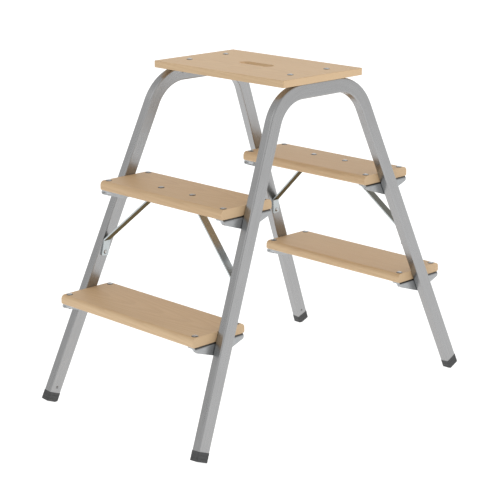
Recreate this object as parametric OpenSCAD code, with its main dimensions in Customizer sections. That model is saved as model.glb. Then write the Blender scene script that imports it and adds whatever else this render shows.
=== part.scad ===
// Double-sided platform step: two bent tube frames, a platform, four wooden steps.
// Millimetres. X runs across the width, Y from front (-) to rear (+), Z up.
// The origin is on the floor, under the centre of the platform.

/* [Overall] */
// Height of the platform's top face above the floor
platform_z = 711; // [690:1:740]
// Half distance between the frames' inner faces, at the height of the platform's top
top_gap = 162; // [150:1:175]
// Sideways lean of each frame, in degrees
frame_lean = 5; // [3:0.5:7]

/* [Side frames] */
// Width of the tube, across the ladder
tube_w = 20; // [18:1:22]
// Depth of the tube, in the plane of the frame
tube_d = 30; // [28:1:34]
// Wall of the tube
tube_wall = 2; // [1.5:0.5:2.5]
// Outer corner radius of the tube
tube_r = 2.8; // [2.6:0.2:4]
// Slope of each leg from the vertical, in the plane of the frame, in degrees
leg_slope = 22.55; // [21:0.05:24]
// Distance from the centre to the outer line of a leg, at the floor
leg_reach = 412.6; // [400:0.2:425]
// Radius of each bend, on the centreline of the tube
bend_r = 88; // [70:1:100]

/* [Platform] */
// Length of the platform, across the ladder
platform_l = 382; // [370:1:400]
// Depth of the platform
platform_d = 236; // [220:1:250]
// Thickness of the platform
platform_t = 15; // [12:1:18]
// Corner radius of the platform, seen from above
platform_corner_r = 3; // [2.5:0.5:8]
// Rounding of the platform's edges
platform_edge_r = 1.5; // [1:0.5:2]
// Length of the hand slot
slot_l = 92; // [80:1:110]
// Width of the hand slot
slot_w = 28; // [24:1:32]

/* [Steps] */
// Height of the lower steps' top faces
lower_step_z = 243; // [235:1:250]
// Height of the upper steps' top faces
upper_step_z = 476; // [468:1:484]
// Depth of a step, from nosing to nosing
step_d = 140; // [134:1:150]
// Thickness of a step
step_t = 20; // [18:1:22]
// Radius of a step's upper long edges
step_top_r = 9; // [4:0.5:10]
// Radius of a step's lower long edges
step_bottom_r = 4; // [2:0.5:6]
// Distance from the leg's axis, at a step's top face, out to the middle of the step
step_offset = 13; // [8:1:18]
// Gap between a step's end and the tube
step_gap = 0.5; // [0.3:0.1:1.5]

/* [Brackets] */
// Length of a step bracket
bracket_l = 131; // [126:1:134]
// Thickness of a bracket's sheet
bracket_t = 3; // [2:0.5:4]
// Width of the flange under the wood
bracket_flange = 25; // [23:1:30]
// Outer radius of a bracket's bend
bracket_bend_r = 5.5; // [4.1:0.1:5.5]
// Drop of a step bracket at its middle
bracket_drop = 29; // [26:1:32]
// Drop of a step bracket at its ends
bracket_tip = 9.5; // [8:0.5:12]
// Length of a platform bracket
platform_bracket_l = 122; // [120:1:126]
// Drop of a platform bracket
platform_bracket_drop = 16; // [16:0.5:20]

/* [Braces] */
// Width of the flat bar
brace_w = 18; // [16:1:20]
// Thickness of the flat bar
brace_t = 3; // [2:0.5:3]
// Height of the brace's lower fold
brace_fold_z = 342; // [335:1:350]
// Distance of the brace's upper fold from the centre
brace_fold_x = 66.5; // [60:0.5:75]
// Sideways drift of the bar toward the nosing, for each millimetre of its length
brace_drift = 0.15; // [0.1:0.01:0.18]
// Inner radius of the brace's folds
brace_fold_r = 4; // [3:0.5:6]
// Radius of the corners at the bar's two ends
brace_end_r = 3; // [1:0.5:5]
// Length of the brace's foot, below the lower fold
brace_foot_l = 34; // [30:1:38]
// Length of the brace's head, past the upper fold
brace_head_l = 28; // [26:1:32]

/* [Feet] */
// Height of a foot, along the leg
foot_h = 20; // [14:1:24]
// Step from the tube's face out to the foot's face
foot_proud = 0.6; // [0.6:0.1:1]
// Width of the grooves round a foot
foot_groove_w = 1; // [0.8:0.1:1.4]
// Depth of the grooves round a foot
foot_groove_d = 0.5; // [0.3:0.1:0.5]
// Length of the plug inside the tube
plug_l = 28; // [24:1:36]
// Depth of the level cut at the foot's lowest corner
foot_land = 2.8; // [2.4:0.1:4]

/* [Fasteners] */
// Radius of a bolt's shank
bolt_r = 3; // [2.5:0.5:4]
// Radius of a bolt's domed head
bolt_head_r = 7; // [6:0.5:8]
// Height of a bolt's domed head
bolt_head_h = 2.4; // [2:0.1:3.5]
// Radius of a rivet's shank
rivet_r = 2.4; // [2:0.1:2.6]
// Radius of a rivet's domed head
rivet_head_r = 4.8; // [4:0.1:5]

/* [Hidden] */
$fn = 48;

LEFT = -1;
RIGHT = 1;
FRONT = -1;
REAR = 1;

// Every hole's cutter runs this far past the part.
over = 1;

// Holes and small fastener sizes.
wood_hole_r = bolt_r + 0.2;
sheet_hole_r = bolt_r + 0.25;
rivet_hole_r = rivet_r + 0.1;
rivet_head_h = 1.6;
rivet_tail_r = 3.5;
rivet_tail_h = 4;
nut_flats = 10;
nut_h = 5;
nut_collar_r = 4.4;
nut_collar_h = 1.6;
nut_bore_r = bolt_r + 0.03;
screw_hole_r = 2.1;
bolt_tail = 2;
screw_r = 2;
screw_head_r = 3.2;
screw_head_h = 1.8;
screw_l = 12;

// Places on the brackets, measured from the bracket's middle.
corner_bolt_y = 55;
corner_bolt_in = 12;
platform_bolt_in = 14.8;
platform_bolt_y = 54;
step_rivet_y = 8;
step_rivet_drop = 14;
platform_rivet_y = 25;
platform_rivet_drop = 10.2;
bracket_corner_r = 5.5;
bracket_apex = 7;
corner_lap = 0.005;

// Places of the brace fixings.
brace_bolt_x = 47;
brace_bolt_out = 20;
brace_rivet_drop = 25.5;

// The feet: bands on the outside, and a hollow plug that slides into the tube.
foot_bands = 3;
foot_screw_up = 12;
plug_gap = 0.1;
plug_wall = 2.9;
plug_bore_r = 1;
screw_fit = 0.03;

// The tube draws in a little at a bend, and its straight stretches lap into the bend.
bend_thin = 0.03;
bend_lap = 1;

// The flat bar does the same at its folds.
fold_thin = 0.02;
fold_side = 0.06;
fold_lap = 0.3;

platform_bottom_z = platform_z - platform_t;
lean_cos = cos(frame_lean);
lean_sin = sin(frame_lean);
slope_cos = cos(leg_slope);
slope_sin = sin(leg_slope);

// X of the frames' inner faces at height z.
function inner_x(z) = top_gap + (platform_z - z) * tan(frame_lean);

// Distance up a frame's inner face, from the floor, of height z.
function up_frame(z) = z / lean_cos;

// Y of the leg's axis at a distance s up the frame.
function leg_axis_y(s) = leg_reach - s * tan(leg_slope) - tube_d / 2 / slope_cos;

// Y of the middle of a step whose top face is at height z.
function step_y(z) = leg_axis_y(up_frame(z)) + step_offset;

// The bow: the round of the tube's outer top corner stays this far below the platform.
bow_gap = 0.05;
corner_loss = tube_r * (lean_sin + lean_cos - 1);
bow_top = (platform_bottom_z - bow_gap + corner_loss - tube_w * lean_sin) / lean_cos;
bow_axis = bow_top - tube_d / 2;
bend_s = bow_axis - bend_r;
bend_y = leg_axis_y(bend_s) - bend_r / slope_cos;

// Nothing on the ladder is farther than this from the middle.
span = leg_reach + tube_d;

// The sole's middle, and the tube's end above it.
sole_s = -foot_land + tube_d / 2 * slope_sin;
sole_y = leg_axis_y(sole_s);
tube_end_s = sole_s + foot_h * slope_cos;
tube_end_y = sole_y - foot_h * slope_sin;
leg_l = (bend_s + bend_r * slope_sin - tube_end_s) / slope_cos;

// ---------- helpers ----------

// Puts a frame's own axes in place: X out from the inner face, Z up the lean.
module on_frame(side) {
    if (side == LEFT)
        mirror([1, 0, 0]) on_frame(RIGHT) children();
    else
        translate([inner_x(0), 0, 0]) rotate([0, -frame_lean, 0]) children();
}

// Mirrors what is drawn for the rear over to the front.
module at_end(end) {
    if (end == FRONT)
        mirror([0, 1, 0]) children();
    else
        children();
}

// Mirrors what is drawn for the right over to the left.
module at_side(side) {
    if (side == LEFT)
        mirror([1, 0, 0]) children();
    else
        children();
}

// A rectangle with round corners, about its own centre.
module round_rect(width, depth, r) {
    square([width - 2 * r, depth], center = true);
    square([width, depth - 2 * r], center = true);
    for (x = [-1, 1], y = [-1, 1])
        translate([x * (width / 2 - r), y * (depth / 2 - r)]) circle(r);
}

// A dome that stands on z = 0.
module dome(r, h) {
    ball_r = (r * r + h * h) / (2 * h);
    rotate_extrude()
        intersection() {
            translate([0, h - ball_r]) circle(ball_r, $fn = 96);
            square([r, h]);
        }
}

// ---------- side frames ----------

// One tube, bent twice. inset 0 gives its outside, the wall's thickness gives its bore.
module bent_tube(inset, overrun) {
    w = tube_w - 2 * inset;
    d = tube_d - 2 * inset;
    r = tube_r - inset;
    thin = 2 * bend_thin;
    translate([tube_w / 2, bend_y + bend_lap, bow_axis]) rotate([90, 0, 0])
        linear_extrude(2 * (bend_y + bend_lap)) round_rect(w, d, r);
    for (end = [FRONT, REAR])
        at_end(end) {
            translate([tube_w / 2, bend_y, bend_s]) rotate([90, 0, 90]) rotate([0, 0, leg_slope])
                rotate_extrude(angle = 90 - leg_slope, $fn = 128)
                    translate([bend_r, 0]) round_rect(d - thin, w - thin, r - bend_thin);
            translate([tube_w / 2, tube_end_y, tube_end_s]) rotate([leg_slope, 0, 0])
                translate([0, 0, -overrun])
                    linear_extrude(leg_l + overrun + bend_lap) round_rect(w, d, r);
        }
}

// Places children at every rivet of the step brackets on one frame.
module at_step_rivets() {
    for (end = [FRONT, REAR], z = [lower_step_z, upper_step_z], y = [-step_rivet_y, step_rivet_y])
        at_end(end)
            translate([0, step_y(z) + y, up_frame(z - step_t) - step_rivet_drop]) children();
}

// Places children at the rivets of the platform bracket on one frame.
module at_platform_rivets() {
    for (y = [-platform_rivet_y, platform_rivet_y])
        translate([0, y, up_frame(platform_bottom_z) - platform_rivet_drop]) children();
}

// Places children at the screws of the two feet of one frame.
module at_foot_screws() {
    for (end = [FRONT, REAR])
        at_end(end)
            translate([0, tube_end_y, tube_end_s]) rotate([leg_slope, 0, 0])
                translate([0, 0, foot_screw_up]) children();
}

// Places children at the rivets of the two braces on one frame.
module at_brace_rivets() {
    for (end = [FRONT, REAR])
        at_end(end)
            translate([0, brace_rivet_y, up_frame(brace_fold_z) - brace_rivet_drop]) children();
}

// A hole through the tube's inner wall, for a fastener along X.
module wall_hole(r) {
    translate([-over, 0, 0]) rotate([0, 90, 0]) cylinder(h = tube_wall + 2 * over, r = r);
}

module side_frame(side) {
    color("silver")
        on_frame(side)
            difference() {
                bent_tube(0, 0);
                bent_tube(tube_wall, over);
                at_step_rivets() wall_hole(rivet_hole_r);
                at_platform_rivets() wall_hole(rivet_hole_r);
                at_brace_rivets() wall_hole(rivet_hole_r);
                at_foot_screws() wall_hole(screw_hole_r);
            }
}

// ---------- platform ----------

// A board with round corners and rounded edges, its middle at the origin.
module soft_board(length, depth, thick, corner_r, edge_r) {
    rotate([90, 0, 90])
        linear_extrude(length - 2 * corner_r, center = true) round_rect(depth, thick, edge_r);
    rotate([90, 0, 0])
        linear_extrude(depth - 2 * corner_r, center = true) round_rect(length, thick, edge_r);
    for (x = [-1, 1], y = [-1, 1])
        translate([x * (length / 2 - corner_r), y * (depth / 2 - corner_r), 0])
            rotate_extrude()
                intersection() {
                    round_rect(2 * corner_r, thick, edge_r);
                    translate([0, -thick]) square([corner_r + 1, 2 * thick]);
                }
}

// Places children at the platform's four bolts.
module at_platform_bolts() {
    for (x = [-1, 1], y = [-1, 1])
        translate([x * (inner_x(platform_bottom_z) - platform_bolt_in), y * platform_bolt_y, 0])
            children();
}

module top_platform() {
    color("burlywood")
        difference() {
            translate([0, 0, platform_z - platform_t / 2])
                soft_board(platform_l, platform_d, platform_t, platform_corner_r, platform_edge_r);
            translate([0, 0, platform_bottom_z - over])
                linear_extrude(platform_t + 2 * over) {
                    square([slot_l - slot_w, slot_w], center = true);
                    for (x = [-1, 1])
                        translate([x * (slot_l - slot_w) / 2, 0]) circle(slot_w / 2);
                }
            translate([0, 0, platform_bottom_z - over])
                at_platform_bolts() cylinder(h = platform_t + 2 * over, r = wood_hole_r);
        }
}

// ---------- steps ----------

// Cross-section of a step: full rounding above, a small one below.
module step_section() {
    top_y = step_d / 2 - step_top_r;
    bottom_y = step_d / 2 - step_bottom_r;
    translate([-top_y, -step_t]) square([2 * top_y, step_t]);
    translate([-bottom_y, -step_t]) square([2 * bottom_y, step_t - step_top_r]);
    translate([-step_d / 2, step_bottom_r - step_t])
        square([step_d, step_t - step_top_r - step_bottom_r]);
    for (y = [-1, 1]) {
        translate([y * top_y, -step_top_r]) circle(step_top_r);
        translate([y * bottom_y, step_bottom_r - step_t]) circle(step_bottom_r);
    }
}

// Places children at a step's four corner bolts.
module at_corner_bolts(end, z) {
    for (x = [-1, 1], y = [-1, 1])
        translate([x * (inner_x(z - step_t) - corner_bolt_in),
                   end * step_y(z) + y * corner_bolt_y, 0])
            children();
}

// Places children at the two bolts that hold the braces to an upper step.
module at_brace_bolts(end) {
    for (x = [-1, 1])
        translate([x * brace_bolt_x, end * (step_y(upper_step_z) + brace_bolt_out), 0]) children();
}

module step(end, z) {
    color("tan")
        difference() {
            translate([0, end * step_y(z), z]) rotate([90, 0, 90])
                linear_extrude(2 * (inner_x(z) - step_gap), center = true) step_section();
            translate([0, 0, z - step_t - over]) {
                at_corner_bolts(end, z) cylinder(h = step_t + 2 * over, r = wood_hole_r);
                if (z == upper_step_z)
                    at_brace_bolts(end) cylinder(h = step_t + 2 * over, r = wood_hole_r);
            }
        }
}

// ---------- brackets ----------

// A filled corner about the bend's centre: level above, leaning on its outer side.
module bend_wedge(r, reach, drop) {
    circle(r);
    polygon([
        [0, 0], [0, r], [-reach, r], [-reach, -drop],
        [r * lean_cos + drop * lean_sin, r * lean_sin - drop * lean_cos],
        [r * lean_cos, r * lean_sin]
    ]);
}

// Cross-section of a bracket in X and Z, its outer corner at the origin, lean included.
module bracket_section(drop) {
    core_x = (lean_sin - 1) * bracket_bend_r / lean_cos;
    translate([core_x, -bracket_bend_r])
        difference() {
            bend_wedge(bracket_bend_r, bracket_flange + core_x, drop);
            bend_wedge(bracket_bend_r - bracket_t, bracket_flange + 10, drop + 10);
        }
}

// Side outline of a bracket: level above, round tips, and two straight slopes below.
module bracket_outline(length, tip, drop) {
    half = length / 2;
    r = bracket_corner_r;
    fall = (drop - tip) / (half - bracket_apex);
    tilt = atan(fall);
    // The tip's circle touches the end and the slope.
    tip_y = half - r;
    tip_z = -tip + r * (1 / cos(tilt) - fall);
    touch_y = tip_y + r * sin(tilt);
    intersection() {
        polygon([
            [-half, 6], [half, 6], [half, -tip],
            [bracket_apex, -drop], [-bracket_apex, -drop], [-half, -tip]
        ]);
        union() {
            translate([-half - 1, tip_z]) square([2 * half + 2, drop]);
            translate([-touch_y, -drop - 1]) square([2 * touch_y, 2 * drop]);
            for (y = [-1, 1])
                translate([y * tip_y, tip_z]) circle(r + corner_lap);
        }
    }
}

// A bracket on the inner face, its flange's top at height z and its middle at y.
module bracket(side, y, z, length, tip, drop, bolt_y, bolt_in, rivet_y, rivet_drop) {
    color("gainsboro")
        on_frame(side)
            translate([0, y, up_frame(z)])
                difference() {
                    intersection() {
                        rotate([0, frame_lean, 0]) rotate([90, 0, 0])
                            linear_extrude(length, center = true) bracket_section(drop);
                        rotate([90, 0, 90])
                            translate([0, 0, -bracket_flange - 10])
                                linear_extrude(bracket_flange + 20) bracket_outline(length, tip, drop);
                        rotate([0, frame_lean, 0])
                            translate([0, 0, -50])
                                linear_extrude(100)
                                    round_rect(2 * bracket_flange, length, bracket_corner_r);
                    }
                    rotate([0, frame_lean, 0])
                        for (b = [-bolt_y, bolt_y])
                            translate([-bolt_in, b, -bracket_t - over])
                                cylinder(h = bracket_t + 2 * over, r = sheet_hole_r);
                    for (b = [-rivet_y, rivet_y])
                        translate([-bracket_t - over, b, -rivet_drop]) rotate([0, 90, 0])
                            cylinder(h = bracket_t + 2 * over, r = rivet_hole_r);
                }
}

module step_bracket(end, side, z) {
    bracket(side, end * step_y(z), z - step_t, bracket_l, bracket_tip, bracket_drop,
            corner_bolt_y, corner_bolt_in, step_rivet_y, step_rivet_drop);
}

module platform_bracket(side) {
    bracket(side, 0, platform_bottom_z,
            platform_bracket_l, platform_bracket_drop, platform_bracket_drop,
            platform_bolt_y, platform_bolt_in, platform_rivet_y, platform_rivet_drop);
}

// ---------- braces ----------

// The bar's middle line in X and Z, from the lower fold's corner to the upper fold's corner.
fold_low = [inner_x(brace_fold_z) - brace_t / 2 / lean_cos, brace_fold_z];
fold_high = [brace_fold_x, upper_step_z - step_t - brace_t / 2];
fold_mid_r = brace_fold_r + brace_t / 2;

// Headings of the bar's foot, its long stretch and its head, in degrees from X toward Z.
foot_dir = 90 + frame_lean;
bar_dir = atan2(fold_high[1] - fold_low[1], fold_high[0] - fold_low[0]);
head_dir = 180;
function heading(dir) = [cos(dir), sin(dir)];

// Distance from a fold's corner to the end of its bend.
function fold_run(turn) = fold_mid_r * tan(turn / 2);
low_run = fold_run(bar_dir - foot_dir);
high_run = fold_run(head_dir - bar_dir);
bar_l = norm(fold_high - fold_low) - low_run - high_run;

// Y of the bar's middle at its folds and ends.
brace_bolt_y = step_y(upper_step_z) + brace_bolt_out;
fold_high_y = brace_bolt_y + brace_drift * (brace_fold_x - brace_bolt_x);
fold_low_y = fold_high_y + brace_drift * bar_l;
brace_rivet_y = fold_low_y + brace_drift * brace_rivet_drop;
foot_end_y = fold_low_y + brace_drift * brace_foot_l;
head_end_y = fold_high_y - brace_drift * brace_head_l;

// The flat of a stretch of bar, from x = -before to x = l, its middle from p_y to q_y.
module bar_plan(before, l, p_y, q_y) {
    back_y = p_y - before * (q_y - p_y) / l;
    polygon([
        [-before, back_y - brace_w / 2], [l, q_y - brace_w / 2],
        [l, q_y + brace_w / 2], [-before, back_y + brace_w / 2]
    ]);
}

// Lays children's flat drawing along a heading from a point of the bar's middle line.
module along_bar(p, dir) {
    translate([p[0], 0, p[1]]) rotate([0, -dir, 0])
        linear_extrude(brace_t, center = true) children();
}

// A free end of the bar, cut square across it with round corners.
module bar_tab(p, dir, l, p_y, q_y) {
    along_bar(p, dir)
        intersection() {
            bar_plan(brace_w / 2, l, p_y, q_y);
            translate([0, p_y]) rotate(atan((q_y - p_y) / l)) translate([l, 0])
                round_rect(2 * l, brace_w, brace_end_r);
        }
}

// A bend of the bar about its inner side, from one heading to the next.
module bar_bend(corner, from, to, y) {
    centre = corner - fold_run(to - from) * heading(from) + fold_mid_r * heading(from + 90);
    translate([centre[0], y, centre[1]]) rotate([90, 0, 0]) rotate([0, 0, from - 90])
        rotate_extrude(angle = to - from, $fn = 96)
            translate([fold_mid_r, 0])
                square([brace_t - 2 * fold_thin, brace_w - 2 * fold_side], center = true);
}

module brace(end, side) {
    color("lightsteelblue")
        at_end(end) at_side(side)
            difference() {
                union() {
                    bar_tab(fold_low - brace_foot_l * heading(foot_dir), foot_dir,
                            brace_foot_l - low_run + fold_lap, foot_end_y, fold_low_y);
                    bar_bend(fold_low, foot_dir, bar_dir, fold_low_y);
                    along_bar(fold_low + (low_run - fold_lap) * heading(bar_dir), bar_dir)
                        bar_plan(0, bar_l + 2 * fold_lap, fold_low_y, fold_high_y);
                    bar_bend(fold_high, bar_dir, head_dir, fold_high_y);
                    bar_tab(fold_high + brace_head_l * heading(head_dir), head_dir - 180,
                            brace_head_l - high_run + fold_lap, head_end_y, fold_high_y);
                }
                translate([brace_bolt_x, brace_bolt_y, fold_high[1] - brace_t])
                    cylinder(h = 2 * brace_t, r = sheet_hole_r);
                on_frame(RIGHT)
                    translate([-brace_t - over, brace_rivet_y,
                               up_frame(brace_fold_z) - brace_rivet_drop])
                        rotate([0, 90, 0]) cylinder(h = brace_t + 2 * over, r = rivet_hole_r);
            }
}

// ---------- feet ----------

// The part of a foot below the tube: a core, and bands round it with grooves between them.
module foot_block() {
    core = foot_proud - foot_groove_d;
    band_h = (foot_h - (foot_bands - 1) * foot_groove_w) / foot_bands;
    linear_extrude(foot_h - band_h / 2)
        round_rect(tube_w + 2 * core, tube_d + 2 * core, tube_r + core);
    for (i = [0:foot_bands - 1])
        translate([0, 0, i * (band_h + foot_groove_w)])
            linear_extrude(band_h)
                round_rect(tube_w + 2 * foot_proud, tube_d + 2 * foot_proud,
                           tube_r + foot_proud);
}

module foot(end, side) {
    plug_w = tube_w - 2 * (tube_wall + plug_gap);
    plug_d = tube_d - 2 * (tube_wall + plug_gap);
    color("dimgray")
        difference() {
            on_frame(side) at_end(end)
                translate([tube_w / 2, sole_y, sole_s]) rotate([leg_slope, 0, 0])
                    difference() {
                        union() {
                            foot_block();
                            linear_extrude(foot_h + plug_l)
                                round_rect(plug_w, plug_d, tube_r - tube_wall);
                        }
                        translate([0, 0, foot_h])
                            linear_extrude(plug_l + over)
                                round_rect(plug_w - 2 * plug_wall, plug_d - 2 * plug_wall,
                                           plug_bore_r);
                        translate([-tube_w, 0, foot_h + foot_screw_up]) rotate([0, 90, 0])
                            cylinder(h = tube_w, r = screw_r);
                    }
            translate([-span, -span, -foot_h]) cube([2 * span, 2 * span, foot_h]);
        }
}

// ---------- fasteners ----------

// A domed bolt whose head stands on z = 0, for a joint of the given thickness.
module bolt(grip) {
    dome(bolt_head_r, bolt_head_h);
    translate([0, 0, -grip - nut_h - nut_collar_h - bolt_tail])
        cylinder(h = grip + nut_h + nut_collar_h + bolt_tail, r = bolt_r);
}

// A lock nut whose upper face is at z = 0.
module nut() {
    difference() {
        union() {
            translate([0, 0, -nut_h])
                cylinder(h = nut_h, r = nut_flats / 2 / cos(30), $fn = 6);
            translate([0, 0, -nut_h - nut_collar_h])
                cylinder(h = nut_h, r = nut_collar_r);
        }
        translate([0, 0, -nut_h - nut_collar_h - over])
            cylinder(h = nut_h + nut_collar_h + 2 * over, r = nut_bore_r);
    }
}

// A blind rivet along X through a sheet and the tube's wall, its head on the sheet.
module rivet(sheet) {
    translate([-sheet, 0, 0]) rotate([0, -90, 0]) {
        dome(rivet_head_r, rivet_head_h);
        translate([0, 0, -sheet - tube_wall]) cylinder(h = sheet + tube_wall, r = rivet_r);
        translate([0, 0, -sheet - tube_wall - rivet_tail_h])
            cylinder(h = rivet_tail_h, r = rivet_tail_r);
    }
}

// A pan-head screw along X into a foot's plug.
module foot_screw() {
    rotate([0, -90, 0]) {
        dome(screw_head_r, screw_head_h);
        translate([0, 0, -screw_l]) cylinder(h = screw_l, r = screw_r - screw_fit);
    }
}

module platform_bolts() {
    color("lightgray")
        translate([0, 0, platform_z]) at_platform_bolts() bolt(platform_t + bracket_t);
}

module platform_nuts() {
    color("lightgray")
        translate([0, 0, platform_bottom_z - bracket_t]) at_platform_bolts() nut();
}

module corner_bolts(end, z) {
    color("lightgray")
        translate([0, 0, z]) at_corner_bolts(end, z) bolt(step_t + bracket_t);
}

module corner_nuts(end, z) {
    color("lightgray")
        translate([0, 0, z - step_t - bracket_t]) at_corner_bolts(end, z) nut();
}

module brace_bolts() {
    color("lightgray")
        for (end = [FRONT, REAR])
            translate([0, 0, upper_step_z]) at_brace_bolts(end) bolt(step_t + brace_t);
}

module brace_nuts() {
    color("lightgray")
        for (end = [FRONT, REAR])
            translate([0, 0, upper_step_z - step_t - brace_t]) at_brace_bolts(end) nut();
}

module brace_rivets() {
    color("lightgray")
        for (side = [LEFT, RIGHT])
            on_frame(side) at_brace_rivets() rivet(brace_t);
}

module bracket_rivets(side) {
    color("lightgray")
        on_frame(side) {
            at_step_rivets() rivet(bracket_t);
            at_platform_rivets() rivet(bracket_t);
        }
}

module foot_screws() {
    color("lightgray")
        for (side = [LEFT, RIGHT])
            on_frame(side) at_foot_screws() foot_screw();
}

// ---------- the assembly ----------

side_frame(LEFT);  // side_frame_left
side_frame(RIGHT);  // side_frame_right
top_platform();
step(FRONT, lower_step_z);  // step_front_lower
step(FRONT, upper_step_z);  // step_front_upper
step(REAR, upper_step_z);  // step_rear_upper
step(REAR, lower_step_z);  // step_rear_lower
step_bracket(FRONT, LEFT, lower_step_z);  // bracket_front_lower_left
step_bracket(FRONT, RIGHT, lower_step_z);  // bracket_front_lower_right
step_bracket(FRONT, LEFT, upper_step_z);  // bracket_front_upper_left
step_bracket(FRONT, RIGHT, upper_step_z);  // bracket_front_upper_right
step_bracket(REAR, LEFT, upper_step_z);  // bracket_rear_upper_left
step_bracket(REAR, RIGHT, upper_step_z);  // bracket_rear_upper_right
step_bracket(REAR, LEFT, lower_step_z);  // bracket_rear_lower_left
step_bracket(REAR, RIGHT, lower_step_z);  // bracket_rear_lower_right
platform_bracket(LEFT);  // platform_bracket_left
platform_bracket(RIGHT);  // platform_bracket_right
brace(FRONT, LEFT);  // brace_front_left
brace(FRONT, RIGHT);  // brace_front_right
brace(REAR, LEFT);  // brace_rear_left
brace(REAR, RIGHT);  // brace_rear_right
foot(FRONT, LEFT);  // foot_front_left
foot(FRONT, RIGHT);  // foot_front_right
foot(REAR, LEFT);  // foot_rear_left
foot(REAR, RIGHT);  // foot_rear_right
platform_bolts();
platform_nuts();
corner_bolts(FRONT, lower_step_z);  // bolts_front_lower
corner_bolts(FRONT, upper_step_z);  // bolts_front_upper
corner_bolts(REAR, upper_step_z);  // bolts_rear_upper
corner_bolts(REAR, lower_step_z);  // bolts_rear_lower
corner_nuts(FRONT, lower_step_z);  // nuts_front_lower
corner_nuts(FRONT, upper_step_z);  // nuts_front_upper
corner_nuts(REAR, upper_step_z);  // nuts_rear_upper
corner_nuts(REAR, lower_step_z);  // nuts_rear_lower
brace_bolts();
brace_nuts();
brace_rivets();
bracket_rivets(LEFT);  // bracket_rivets_left
bracket_rivets(RIGHT);  // bracket_rivets_right
foot_screws();
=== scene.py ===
"""Looks for the double-sided step ladder: materials, small details, floor, light and camera.

Metres. X runs across the ladder, the front is -Y, and Z is up.
"""

import math

import bpy
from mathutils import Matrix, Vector


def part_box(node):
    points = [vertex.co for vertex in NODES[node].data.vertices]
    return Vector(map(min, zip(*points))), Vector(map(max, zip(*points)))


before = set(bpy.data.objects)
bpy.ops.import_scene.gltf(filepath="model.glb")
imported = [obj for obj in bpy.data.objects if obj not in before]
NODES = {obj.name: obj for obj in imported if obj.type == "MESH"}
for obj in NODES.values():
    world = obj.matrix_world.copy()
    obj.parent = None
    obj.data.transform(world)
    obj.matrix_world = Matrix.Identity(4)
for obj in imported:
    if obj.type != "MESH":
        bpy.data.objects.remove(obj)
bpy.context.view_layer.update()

# How the side frames are bent, for the direction of their brushing.
FRAME_LEAN = math.radians(5)
LEG_SLOPE = math.radians(22.55)
TUBE_DEPTH = 0.030
BEND_RADIUS = 0.088

# The camera: where it stands, what it looks at, and its lens on a 36 mm sensor.
CAMERA_PLACE = (2.2544, -2.2755, 1.1989)
CAMERA_TARGET = (0.1000, -0.1199, 0.3496)
CAMERA_LENS = 110.5
CAMERA_SENSOR = 36

# Each board's painted light and shade: its lightness, and a tint on its long edges.
BOARDS = {
    "top_platform": (1.06, (0.86, 0.90, 0.95)),
    "step_front_lower": (0.95, (1.02, 1.07, 1.14)),
    "step_front_upper": (0.95, (0.93, 0.95, 0.98)),
    "step_rear_upper": (0.95, (0.95, 0.98, 1.02)),
    "step_rear_lower": (0.95, (1.00, 1.05, 1.12)),
}

# The width of a growth ring, and how far below a board the log's centre lies.
RING_WIDTH = 0.0042
PITH_BELOW = 0.045

# Painted reflection and shade on the flat bars: brown reflection below, also in the glint,
# and shade above, grey at the front and dark at the rear.
BROWN_REFLECTION_BELOW = (0.155, 0.13, 0.09)
BROWN_GLINT_BELOW = (0.42, 0.39, 0.34)
SHADE_ABOVE_FRONT = (0.40, 0.425, 0.43)
SHADE_ABOVE_REAR = (0.115, 0.115, 0.10)

# Painted shade on slanting zinc: on those that look up, as in the crevice at a bend, or all
# round a head.
SLOPE_SHADE = (0.06, 0.055, 0.05)
LOOKING_UP = 0.15
ALL_ROUND = -1.2

# The room's light, what the lamps add to it, the floor's own glow, and the floor's width.
ROOM_LIGHT = 0.72
LAMP_LIGHT = 0.55
FLOOR_GLOW = 0.98
FLOOR_SIZE = 60


# ---------- node trees ----------


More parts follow.
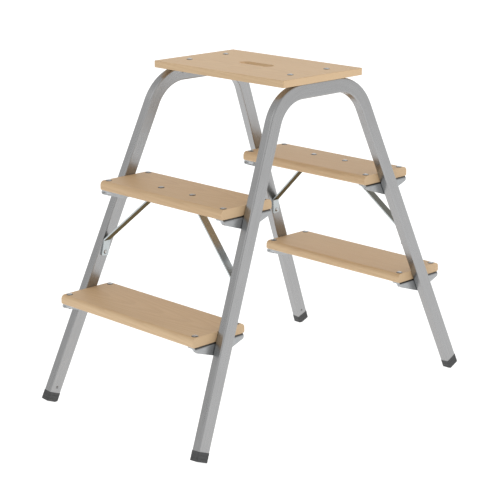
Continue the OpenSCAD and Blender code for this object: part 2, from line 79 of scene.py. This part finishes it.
class Graph:
    """A node tree of a material or world. Its methods add nodes and return output sockets."""

    def __init__(self, owner, shader="Principled BSDF", place="Object"):
        if isinstance(owner, str):
            owner = bpy.data.materials.new(owner)
        owner.use_nodes = True
        self.owner = owner
        self.tree = owner.node_tree
        self.shader = self.tree.nodes[shader]
        self.place = self.node("ShaderNodeTexCoord").outputs[place]
        self.x, self.y, self.z = self.split(self.place)

    def set(self, socket, value):
        if isinstance(value, bpy.types.NodeSocket):
            self.tree.links.new(value, socket)
        else:
            socket.default_value = value

    def node(self, kind, *values, **settings):
        node = self.tree.nodes.new(kind)
        for key, value in settings.items():
            setattr(node, key, value)
        for socket, value in zip(node.inputs, values):
            if value is not None:
                self.set(socket, value)
        return node

    def split(self, vector):
        return self.node("ShaderNodeSeparateXYZ", vector).outputs[:]

    def join(self, x, y, z):
        return self.node("ShaderNodeCombineXYZ", x, y, z).outputs[0]

    def math(self, operation, *values):
        return self.node("ShaderNodeMath", *values, operation=operation).outputs[0]

    def add(self, a, b):
        return self.math("ADD", a, b)

    def times(self, a, b):
        return self.math("MULTIPLY", a, b)

    def range(self, value, low, high, out_low=0.0, out_high=1.0):
        return self.node(
            "ShaderNodeMapRange", value, low, high, out_low, out_high,
            interpolation_type="SMOOTHSTEP",
        ).outputs[0]

    def noise(self, vector, detail=2.0, roughness=0.5):
        node = self.node("ShaderNodeTexNoise")
        self.set(node.inputs["Vector"], vector)
        node.inputs["Scale"].default_value = 1
        node.inputs["Detail"].default_value = detail
        node.inputs["Roughness"].default_value = roughness
        return node.outputs["Fac"]

    def cells(self, vector):
        node = self.node("ShaderNodeTexVoronoi")
        self.set(node.inputs["Vector"], vector)
        node.inputs["Scale"].default_value = 1
        return node.outputs

    def scaled(self, x_scale, y_scale, z_scale, shift=(0, 0, 0)):
        """The coordinates, with a scale for each axis and a shift."""
        return self.join(
            self.math("MULTIPLY_ADD", self.x, x_scale, shift[0]),
            self.math("MULTIPLY_ADD", self.y, y_scale, shift[1]),
            self.math("MULTIPLY_ADD", self.z, z_scale, shift[2]),
        )

    def blend(self, factor, a, b, blend_type="MIX"):
        node = self.node("ShaderNodeMix", data_type="RGBA", blend_type=blend_type)
        self.set(node.inputs[0], factor)
        self.set(node.inputs[6], (*a, 1) if isinstance(a, tuple) else a)
        self.set(node.inputs[7], (*b, 1) if isinstance(b, tuple) else b)
        return node.outputs[2]

    def normal(self):
        return self.node("ShaderNodeNewGeometry").outputs["Normal"]

    def finish(self, color, roughness, height, depth, metallic=0.0):
        """Connects the shader. depth is the bump's real height in metres."""
        bump = self.node("ShaderNodeBump")
        bump.inputs["Strength"].default_value = 1
        bump.inputs["Distance"].default_value = depth
        self.set(bump.inputs["Height"], height)
        self.set(self.shader.inputs["Base Color"], color)
        self.set(self.shader.inputs["Roughness"], roughness)
        self.set(self.shader.inputs["Normal"], bump.outputs[0])
        self.shader.inputs["Metallic"].default_value = metallic
        return self.owner


# ---------- materials ----------


def wood(name, seed, pith, light_and_shade_gain, edge_light_tint):
    """Pale hardwood whose grain runs along X.

    pith is the Y and Z of the log's centre. gain is painted light and shade that makes one
    board lighter or darker, and edge is painted light and shade that tints its long edges.
    """
    g = Graph(name)
    early, late, fleck = (0.645, 0.44, 0.24), (0.555, 0.36, 0.19), (0.46, 0.285, 0.145)
    shift = (seed * 3.1, seed * 1.7, seed * 2.3)

    # Growth rings are long cones round the pith, wavy along the board.
    sway = g.noise(g.scaled(2.2, 9, 9, shift), detail=2.0)
    ripple = g.noise(g.scaled(7, 60, 60, shift), detail=3.0)
    across = g.add(g.add(g.y, -pith[0]), g.times(g.add(sway, -0.5), 0.016))
    above = g.add(g.add(g.z, -pith[1]), g.times(g.x, 0.05))
    radius = g.math("SQRT", g.add(g.times(across, across), g.times(above, above)))
    radius = g.add(radius, g.times(g.add(ripple, -0.5), 0.0022))
    ring = g.math("FRACT", g.times(radius, 1 / RING_WIDTH))
    dark = g.times(g.range(ring, 0.25, 0.93), g.range(ring, 1.0, 0.93))

    # Fibres, rays and slow changes of tone.
    fibre = g.noise(g.scaled(22, 1300, 1300, shift), detail=3.0, roughness=0.6)
    streak = g.noise(g.scaled(5, 190, 190, shift), detail=2.0)
    tone = g.noise(g.scaled(3, 14, 14, shift), detail=2.0)
    ray = g.cells(g.scaled(160, 900, 900, shift))["Distance"]
    ray_mask = g.times(g.range(ray, 0.22, 0.12), g.range(streak, 0.42, 0.56))

    color = g.blend(g.times(dark, 0.50), early, late)
    color = g.blend(g.range(streak, 0.35, 0.75, 0.0, 0.30), color, late)
    color = g.blend(g.range(fibre, 0.35, 0.8, 0.0, 0.22), color, fleck)
    color = g.blend(g.times(ray_mask, 0.30), color, fleck)
    color = g.blend(g.range(tone, 0.3, 0.7, 0.0, 0.14), color, (0.68, 0.475, 0.27))

    # The sawn ends show pores and rings instead of fibres.
    normal_x, normal_y, _ = g.split(g.normal())
    end = g.range(g.math("ABSOLUTE", normal_x), 0.80, 0.95)
    pores = g.cells(g.scaled(300, 1500, 1500, shift))["Distance"]
    pore_mask = g.times(g.range(pores, 0.30, 0.12), end)
    color = g.blend(g.times(pore_mask, 0.35), color, fleck)
    # Painted light: the sawn ends are made lighter, as faces that catch the light.
    color = g.blend(g.times(end, 0.6), color, (0.66, 0.475, 0.285))
    # Painted light and shade: the whole board made lighter or darker, and its long edges
    # tinted.
    color = g.blend(1.0, color, (light_and_shade_gain,) * 3, "MULTIPLY")
    edge_light_mask = g.range(g.math("ABSOLUTE", normal_y), 0.4, 0.9)
    color = g.blend(edge_light_mask, color, edge_light_tint, "MULTIPLY")

    roughness = g.range(fibre, 0.2, 0.8, 0.42, 0.58)
    height = g.add(g.times(fibre, 0.6), g.times(dark, -0.25))
    height = g.add(height, g.times(g.add(ray_mask, pore_mask), -0.5))
    g.shader.inputs["Coat Weight"].default_value = 0.08
    g.shader.inputs["Coat Roughness"].default_value = 0.35
    return g.finish(color, roughness, height, 0.00006)


def brushed_tube():
    """Satin aluminium, brushed along the tube and round its bends."""
    g = Graph("brushed_aluminium")
    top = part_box("side_frame_right")[1].z / math.cos(FRAME_LEAN)
    bend_s = top - TUBE_DEPTH / 2 - BEND_RADIUS
    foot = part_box("side_frame_right")[1].y
    leg_mid = foot - bend_s * math.tan(LEG_SLOPE) - TUBE_DEPTH / 2 / math.cos(LEG_SLOPE)
    bend_y = leg_mid - BEND_RADIUS / math.cos(LEG_SLOPE)

    # The distance across the tube, from its centreline, in the plane of the frame.
    out = g.add(g.math("ABSOLUTE", g.y), -bend_y)
    up = g.add(g.times(g.z, 1 / math.cos(FRAME_LEAN)), -bend_s)
    length = g.math("SQRT", g.add(g.times(out, out), g.times(up, up)))
    on_bend = g.add(length, -BEND_RADIUS)
    on_leg = g.add(
        g.add(g.times(out, math.cos(LEG_SLOPE)), g.times(up, math.sin(LEG_SLOPE))),
        -BEND_RADIUS,
    )
    on_bow = g.add(up, -BEND_RADIUS)
    is_leg = g.math("LESS_THAN", up, g.times(out, math.tan(LEG_SLOPE)))
    is_bow = g.math("LESS_THAN", out, 0.0)
    across = g.add(on_bend, g.times(is_leg, g.add(on_leg, g.times(on_bend, -1.0))))
    across = g.add(across, g.times(is_bow, g.add(on_bow, g.times(across, -1.0))))
    side = g.add(
        g.times(g.math("ABSOLUTE", g.x), math.cos(FRAME_LEAN)),
        g.times(g.z, math.sin(FRAME_LEAN)),
    )
    along = g.add(g.z, g.y)

    def lines(scale, stretch, detail):
        vector = g.join(
            g.times(across, scale), g.times(side, scale), g.times(along, stretch)
        )
        return g.noise(vector, detail=detail, roughness=0.65)

    fine = lines(2600, 18, 3.0)
    broad = lines(420, 7, 2.0)
    smudge = g.noise(g.scaled(16, 16, 16), detail=3.0)
    color = g.blend(g.range(fine, 0.3, 0.7), (0.340, 0.341, 0.343), (0.386, 0.387, 0.389))
    color = g.blend(g.range(broad, 0.35, 0.65, 0.0, 0.35), color, (0.316, 0.317, 0.319))
    roughness = g.add(
        g.range(fine, 0.3, 0.7, 0.24, 0.33), g.range(smudge, 0.4, 0.75, 0.0, 0.06)
    )
    height = g.add(g.times(fine, 0.7), g.times(broad, 0.3))
    return g.finish(color, roughness, height, 0.000012, metallic=1.0)


def zinc(name, light, dark, seed, roughness=0.33, under=None, over=None, rim=None):
    """Zinc-plated steel: crystals, rolling lines and stains.

    under and over are painted reflection and shade on the faces that look down and up. rim
    puts painted shade on slanting faces, such as the slope of a head or a bend, whose
    normal's Z is above it.
    """
    g = Graph(name)
    shift = (seed * 1.9, seed * 4.3, seed * 0.7)
    crystals = g.cells(g.scaled(330, 330, 330, shift))["Color"]
    crystal = g.split(crystals)[0]
    rolled = g.noise(g.scaled(60, 900, 700, shift), detail=3.0, roughness=0.6)
    stain = g.noise(g.scaled(45, 45, 45, shift), detail=4.0, roughness=0.6)
    color = g.blend(g.times(crystal, 0.35), light, dark)
    color = g.blend(g.range(rolled, 0.4, 0.75, 0.0, 0.30), color, dark)
    color = g.blend(g.range(stain, 0.55, 0.8, 0.0, 0.45), color, dark)
    normal_x, _, facing = g.split(g.normal())
    # Painted reflection: the faces that look down are tinted brown, and so is their glint.
    if under:
        below = g.range(facing, -0.3, -0.6)
        color = g.blend(below, color, under)
        g.set(g.shader.inputs["Specular Tint"], g.blend(below, (1, 1, 1), BROWN_GLINT_BELOW))
    # Painted shade on the faces that look up.
    if over:
        color = g.blend(g.range(facing, 0.3, 0.6), color, over)
    # Painted shade on slanting faces, such as the crevice of a bend or the slope of a head.
    if rim:
        square = g.math("MAXIMUM", g.math("ABSOLUTE", normal_x), facing)
        slope = g.times(g.range(square, 0.91, 0.86), g.range(facing, rim - 0.1, rim + 0.1))
        color = g.blend(g.times(slope, 0.9), color, SLOPE_SHADE)
    rough = g.add(
        g.range(rolled, 0.3, 0.7, roughness - 0.05, roughness + 0.05),
        g.range(stain, 0.5, 0.8, 0.0, 0.12),
    )
    height = g.add(g.times(rolled, 0.5), g.times(crystal, 0.2))
    return g.finish(color, rough, height, 0.00002, metallic=1.0)


def moulded_plastic():
    """Dark grey plastic with a fine spark-eroded grain, scuffed where it stands."""
    g = Graph("grey_plastic")
    grain = g.noise(g.scaled(2400, 2400, 2400), detail=2.0)
    cloud = g.noise(g.scaled(70, 70, 70), detail=4.0)
    scratch = g.noise(g.scaled(1500, 160, 260), detail=3.0)
    low = g.range(g.z, 0.012, 0.0)
    scuff = g.times(low, g.range(scratch, 0.48, 0.66))
    color = g.blend(g.range(cloud, 0.3, 0.7), (0.042, 0.043, 0.044), (0.058, 0.059, 0.060))
    color = g.blend(g.times(scuff, 0.6), color, (0.13, 0.13, 0.127))
    roughness = g.add(g.range(cloud, 0.3, 0.7, 0.48, 0.6), g.times(scuff, 0.2))
    height = g.add(g.times(grain, 0.5), g.times(scuff, -0.4))
    return g.finish(color, roughness, height, 0.00005)


def paint(node, material):
    """Gives every material slot of a CAD node the same new material."""
    for place in NODES[node].material_slots:
        place.material = material


def paint_everything():
    for seed, (node, (light_and_shade_gain, edge_light_tint)) in enumerate(BOARDS.items(), start=1):
        low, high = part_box(node)
        pith_y = low.y + (high.y - low.y) * (0.15 + 0.17 * seed)
        paint(node, wood("hardwood_" + node, seed, (pith_y, low.z - PITH_BELOW), light_and_shade_gain, edge_light_tint))
    tube = brushed_tube()
    # The sheet and the heads get painted shade on their slopes; the bars get painted
    # reflection below and painted shade above.
    bracket = zinc("zinc_sheet", (0.405, 0.415, 0.42), (0.32, 0.33, 0.337), 1, rim=LOOKING_UP)
    bar = (0.50, 0.54, 0.55), (0.42, 0.455, 0.465)
    front_brace = zinc("zinc_bar_front", *bar, 2, 0.30, under=BROWN_REFLECTION_BELOW, over=SHADE_ABOVE_FRONT)
    rear_brace = zinc("zinc_bar_rear", *bar, 4, 0.30, under=BROWN_REFLECTION_BELOW, over=SHADE_ABOVE_REAR)
    head = zinc("zinc_heads", (0.56, 0.57, 0.575), (0.46, 0.47, 0.48), 6, 0.28, rim=ALL_ROUND)
    screw = zinc("dark_screws", (0.27, 0.27, 0.27), (0.19, 0.19, 0.19), 5, 0.35)
    fastener = zinc("zinc_fasteners", (0.47, 0.485, 0.50), (0.38, 0.395, 0.41), 3, 0.28)
    plastic = moulded_plastic()
    rules = {"side_frame": tube, "bracket_rivets": fastener, "bracket_": bracket,
             "platform_bracket": bracket, "platform_bolts": head, "bolts_": head,
             "brace_bolts": head, "brace_rivets": head, "brace_front": front_brace,
             "brace_rear_": rear_brace, "foot_screws": screw, "foot_": plastic}
    for node in NODES:
        if node in BOARDS:
            continue
        named = [material for start, material in rules.items() if node.startswith(start)]
        paint(node, named[0] if named else fastener)


# ---------- floor, light and camera ----------


def floor():
    """A white floor that glows, so that nothing casts a visible shadow on it."""
    g = Graph("pale_floor")
    mottle = g.noise(g.scaled(3, 3, 3), detail=3.0)
    color = g.blend(mottle, (0.26, 0.26, 0.26), (0.28, 0.28, 0.28))
    roughness = g.range(mottle, 0.3, 0.7, 0.85, 0.95)
    g.shader.inputs["Specular IOR Level"].default_value = 0.1
    g.shader.inputs["Emission Color"].default_value = (1, 1, 1, 1)
    g.shader.inputs["Emission Strength"].default_value = FLOOR_GLOW
    bpy.ops.mesh.primitive_plane_add(size=FLOOR_SIZE)
    plane = bpy.context.object
    plane.name = "floor"
    plane.data.materials.append(g.finish(color, roughness, mottle, 0.0001))


def world_light():
    """A pale room with wide soft lights high up in front of the ladder and behind it."""
    world = bpy.data.worlds.new("studio")
    g = Graph(world, "Background", "Generated")
    lamp = g.times(
        g.range(g.math("ABSOLUTE", g.y), 0.30, 0.70), g.range(g.z, 0.20, 0.60)
    )
    g.shader.inputs["Color"].default_value = (1, 1, 1, 1)
    g.set(g.shader.inputs["Strength"], g.add(ROOM_LIGHT, g.times(lamp, LAMP_LIGHT)))
    bpy.context.scene.world = world


def camera():
    """A long lens, from the front right and a little above the platform."""
    data = bpy.data.cameras.new("camera")
    data.lens = CAMERA_LENS
    data.sensor_width = CAMERA_SENSOR
    eye = bpy.data.objects.new("camera", data)
    bpy.context.scene.collection.objects.link(eye)
    eye.location = CAMERA_PLACE
    aim = Vector(CAMERA_TARGET) - Vector(CAMERA_PLACE)
    eye.rotation_euler = aim.to_track_quat("-Z", "Y").to_euler()
    bpy.context.scene.camera = eye


def studio():
    floor()
    world_light()
    camera()
    bpy.context.scene.view_settings.view_transform = "Standard"


paint_everything()
studio()
